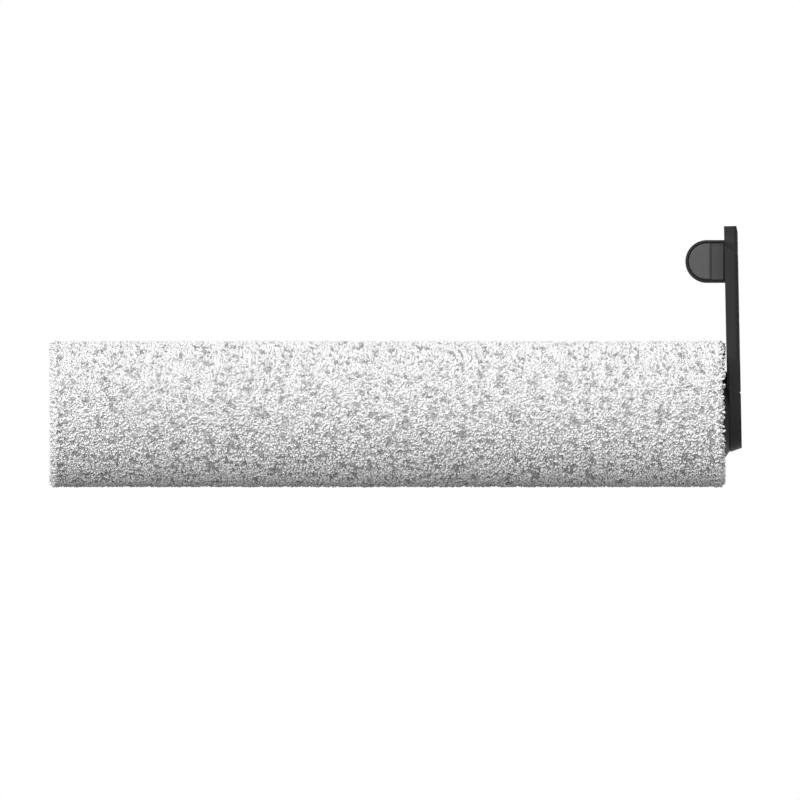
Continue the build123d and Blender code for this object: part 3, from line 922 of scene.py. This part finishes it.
@dataclass
class PileFringe:
    """The long fibres at one end, fanned out over the edge of the backing, with teeth that stand out."""

    space: PileSpace
    end: End
    spacing: float = 0.8
    root_radius: float = 19.7
    root_range: tuple[float, float] = (-0.2, 0.3)
    depth: float = 2.0
    splay: float = 1.1
    tip_shift: float = 0.1
    tip_spread: float = 0.4
    tip_room: float = 0.1
    swing: float = 0.6
    width_range: tuple[float, float] = (0.8, 1.05)
    tone_range: tuple[float, float] = (0.9, 1.0)
    tooth_root: float = 22.3
    tooth_share: float = 0.38
    tooth_range: tuple[float, float] = (0.1, 1.1)
    bracket_back: float = 1.3
    drive_back: float = 0.5
    back_spread: float = 0.3
    stray_rings: int = 3
    stray_share: float = 0.4
    stray_range: tuple[float, float] = (-0.8, 0.1)
    corner_radius: float = 23.6
    corner_curve: float = 0.36
    arm_room: float = 0.28
    steps: tuple[float, ...] = (0.0, 0.5, 0.92, 1.0)
    form: FibreForm = FibreForm(sides=4, heights=(0.2, 0.6, 0.95, 1.0), widths=(0.9, 1.0, 0.9))

    def build(self, rng: np.random.Generator) -> None:
        """Grow the fibres ring by ring and make one piece of them.

        Args:
            rng: The seeded source of all variation.
        """
        space = self.space
        edge, back = space.start, self.drive_back
        if self.end is End.BRACKET:
            edge, back = space.end, self.bracket_back
        rings = np.arange(self.root_radius, space.tip_radius - space.fibre / 2, self.spacing)
        ring = np.concatenate([np.full(round(tau * r / self.spacing), r) for r in rings])
        count = len(ring)
        angle = rng.uniform(0, tau, count)
        thick = space.fibre * rng.uniform(*self.width_range, count)
        low = ring + rng.uniform(*self.root_range, count)
        splay = (ring - self.root_radius) / (space.tip_radius - self.root_radius)
        high = low + self.splay * splay + rng.normal(self.tip_shift, self.tip_spread, count)
        high = np.clip(high, self.root_radius, space.tip_radius - self.tip_room)
        teeth = (ring > self.tooth_root) & (rng.random(count) < self.tooth_share)
        tooth_out = rng.uniform(*self.tooth_range, count)
        out = np.where(teeth, tooth_out, rng.normal(-back, self.back_spread, count))
        out -= self.corner_curve * np.clip(high - self.corner_radius, 0, None) ** 2
        strays = (ring < rings[self.stray_rings]) & (rng.random(count) < self.stray_share)
        out = np.where(strays, rng.uniform(*self.stray_range, count), out)
        swing = rng.normal(0, self.swing, count)
        path = []
        for step in self.steps:
            radius = low + (high - low) * step
            x = edge + self.end.value * (out * step - self.depth * (1 - step))
            x = space.held_back(x, radius, self.arm_room)
            path.append(space.on_roller(x, angle + swing * step / space.tip_radius, radius))
        shades = rng.uniform(*self.tone_range, count)
        spin = rng.uniform(0, tau, count)
        name = f"pile_fringe_{self.end.name.lower()}"
        piece = self.form.mesh(name, np.stack(path, axis=1), thick, spin, shades)
        finish_piece(piece, name, Body.ROLLER, PILE, "pile_cover")


@dataclass
class PileSleeve:
    """The pile: a knitted backing round the tube, stubs all over it and a fringe at both ends."""

    seed: int = 11

    def build(self) -> None:
        """Build the backing, the stubs in bands and the two fringes."""
        rng = np.random.default_rng(self.seed)
        space = PileSpace.in_frame()
        PileBacking(space).build()
        PileStubs(space).build(rng)
        for end in End:
            PileFringe(space, end).build(rng)


@dataclass
class EndBracket:
    """The standing end: the moulded bracket, its cover, its soft tab grip and its felt."""

    def build(self) -> None:
        """Dress the bracket's CAD nodes."""
        dress(BRACKET_ABS, Body.BRACKET, "end_bracket", "outer_cover")
        dress(GRIP_TPE, Body.BRACKET, "tab_grip")
        dress(WOOL_FELT, Body.BRACKET, "felt_ring")


@dataclass
class RollerCore:
    """The tube and its two plugs, with their seals and the circlip."""

    def build(self) -> None:
        """Dress the core's CAD nodes."""
        dress(TUBE_ABS, Body.ROLLER, "core_tube")
        dress(PLUG_POM, Body.ROLLER, "drive_plug", "bearing_plug")
        dress(SEAL_RUBBER, Body.ROLLER, "drive_plug_o_ring", "bearing_plug_o_ring", "lip_seal")
        dress(SPRING_STEEL, Body.ROLLER, "lip_seal_spring", "bearing_circlip")


@dataclass
class BearingAndAxle:
    """The ball bearing and the axle with what is clamped on it."""

    def build(self) -> None:
        """Dress the bearing's and the axle's CAD nodes."""
        dress(BEARING_STEEL, Body.ROLLER, "bearing_outer_ring")
        dress(BEARING_STEEL, Body.ROLLER, "bearing_shield_inboard", "bearing_shield_outboard")
        dress(BEARING_STEEL, Body.BRACKET, "bearing_inner_ring")
        dress(BEARING_STEEL, Body.CAGE, "bearing_balls")
        dress(NYLON, Body.CAGE, "bearing_cage")
        dress(NYLON, Body.BRACKET, "lock_nut_insert")
        dress(ZINC_PLATE, Body.BRACKET, "axle", "axle_washer", "lock_nut")
        dress(GROUND_STEEL, Body.BRACKET, "axle_spacer")


@dataclass(frozen=True)
class SoftLamp:
    """A wide soft source far away: where it stands, its strength and its spread in degrees."""

    name: str
    source: tuple[float, float, float]
    strength: float
    spread: float

    def build(self) -> None:
        """Set up the lamp, turned towards the part."""
        bpy.ops.object.light_add(type="SUN", location=Vector(self.source))
        lamp = bpy.context.object
        lamp.name = self.name
        lamp.rotation_euler = Vector(self.source).to_track_quat("Z", "Y").to_euler()
        lamp.data.energy = self.strength
        lamp.data.angle = radians(self.spread)


@dataclass
class Studio:
    """The floor, the light, the white surroundings and the camera."""

    view_width_mm: float = 283.2
    view_x_mm: float = 121.85
    view_z_mm: float = 4.96
    view_reach_m: float = 10.0
    camera_back_mm: float = 900.0
    floor_z_mm: float = -26.4
    floor_size_mm: float = 6000.0
    lamps: tuple[SoftLamp, ...] = (
        SoftLamp("soft_key", source=(-0.34, -0.8, 0.5), strength=1.65, spread=65.0),
        SoftLamp("front_fill", source=(-0.2, -0.92, 0.35), strength=2.6, spread=80.0),
        SoftLamp("back_fill", source=(0.1, 0.99, 0.1), strength=3.1, spread=50.0),
    )
    ambient: float = 0.09
    white: str = "#ffffff"
    floor_pale: str = "#f2f2f2"
    floor_white: float = 0.5
    floor_bounce: str = "#6a6a6a"
    floor_glow: float = 0.18

    def build(self) -> None:
        """Set up the view and the light."""
        bpy.context.scene.view_settings.view_transform = "Standard"
        self.build_camera()
        for lamp in self.lamps:
            lamp.build()
        self.build_world()
        self.build_floor()

    def build_camera(self) -> None:
        """Look along +Y, a little above the axis, with no perspective."""
        bpy.ops.object.camera_add(
            location=(self.view_x_mm * MM, -self.camera_back_mm * MM, self.view_z_mm * MM),
            rotation=(pi / 2, 0, 0),
        )
        camera = bpy.context.object
        camera.name = "camera"
        camera.data.type = "ORTHO"
        camera.data.ortho_scale = self.view_width_mm * MM
        camera.data.clip_end = self.view_reach_m
        bpy.context.scene.camera = camera

    @staticmethod
    def seen_directly(tree: bpy.types.NodeTree) -> bpy.types.NodeSocket:
        """Tell rays that show a surface to the eye from rays that only carry light.

        Args:
            tree: The node tree that gets the nodes.

        Returns:
            1 where the camera, a reflection or a refraction looks, and 0 for other light.
        """
        path = add_node(tree, "ShaderNodeLightPath").outputs
        mirrored = add_node(
            tree,
            "ShaderNodeMath",
            {0: path["Is Glossy Ray"], 1: path["Is Transmission Ray"]},
            operation="MAXIMUM",
        )
        seen = add_node(
            tree, "ShaderNodeMath", {0: path["Is Camera Ray"], 1: mirrored.outputs[0]}, operation="MAXIMUM"
        )
        return seen.outputs[0]

    def build_world(self) -> None:
        """Surround the part with white to the eye and with a low even light."""
        world = bpy.data.worlds.new("studio")
        bpy.context.scene.world = world
        world.use_nodes = True
        tree = world.node_tree
        tree.nodes.clear()
        colour = linear(self.white)
        fill = add_node(tree, "ShaderNodeBackground", {"Color": colour, "Strength": self.ambient})
        white = add_node(tree, "ShaderNodeBackground", {"Color": colour, "Strength": 1.0})
        sockets = {0: self.seen_directly(tree), 1: fill.outputs[0], 2: white.outputs[0]}
        both = add_node(tree, "ShaderNodeMixShader", sockets)
        add_node(tree, "ShaderNodeOutputWorld", {"Surface": both.outputs[0]})

    def build_floor(self) -> None:
        """Lay a pale floor that keeps the shadow and throws little light back up."""
        bpy.ops.object.select_all(action="DESELECT")
        bpy.ops.mesh.primitive_plane_add(
            size=self.floor_size_mm * MM, location=(self.view_x_mm * MM, 0, self.floor_z_mm * MM)
        )
        floor = bpy.context.object
        floor.name = "studio_floor"
        bpy.ops.object.transform_apply(location=True, rotation=True, scale=True)
        paint = bpy.data.materials.new("floor_paint_matt")
        paint.use_nodes = True
        tree = paint.node_tree
        tree.nodes.clear()
        dull = add_node(tree, "ShaderNodeBsdfDiffuse", {"Color": linear(self.floor_bounce)})
        pale = add_node(tree, "ShaderNodeBsdfDiffuse", {"Color": linear(self.floor_pale)})
        glow = add_node(tree, "ShaderNodeEmission", {"Strength": self.floor_glow})
        white = add_node(tree, "ShaderNodeEmission", {"Strength": self.floor_white})
        thrown = add_node(tree, "ShaderNodeAddShader", {0: dull.outputs[0], 1: glow.outputs[0]})
        shown = add_node(tree, "ShaderNodeAddShader", {0: pale.outputs[0], 1: white.outputs[0]})
        sockets = {0: self.seen_directly(tree), 1: thrown.outputs[0], 2: shown.outputs[0]}
        both = add_node(tree, "ShaderNodeMixShader", sockets)
        add_node(tree, "ShaderNodeOutputMaterial", {"Surface": both.outputs[0]})
        floor.data.materials.append(paint)


def main() -> None:
    """Build the roller brush and its studio in order."""
    logging.basicConfig(level=logging.INFO, format="%(message)s")
    Studio().build()
    PileSleeve().build()
    EndBracket().build()
    RollerCore().build()
    BearingAndAxle().build()


if __name__ == "__main__":
    main()
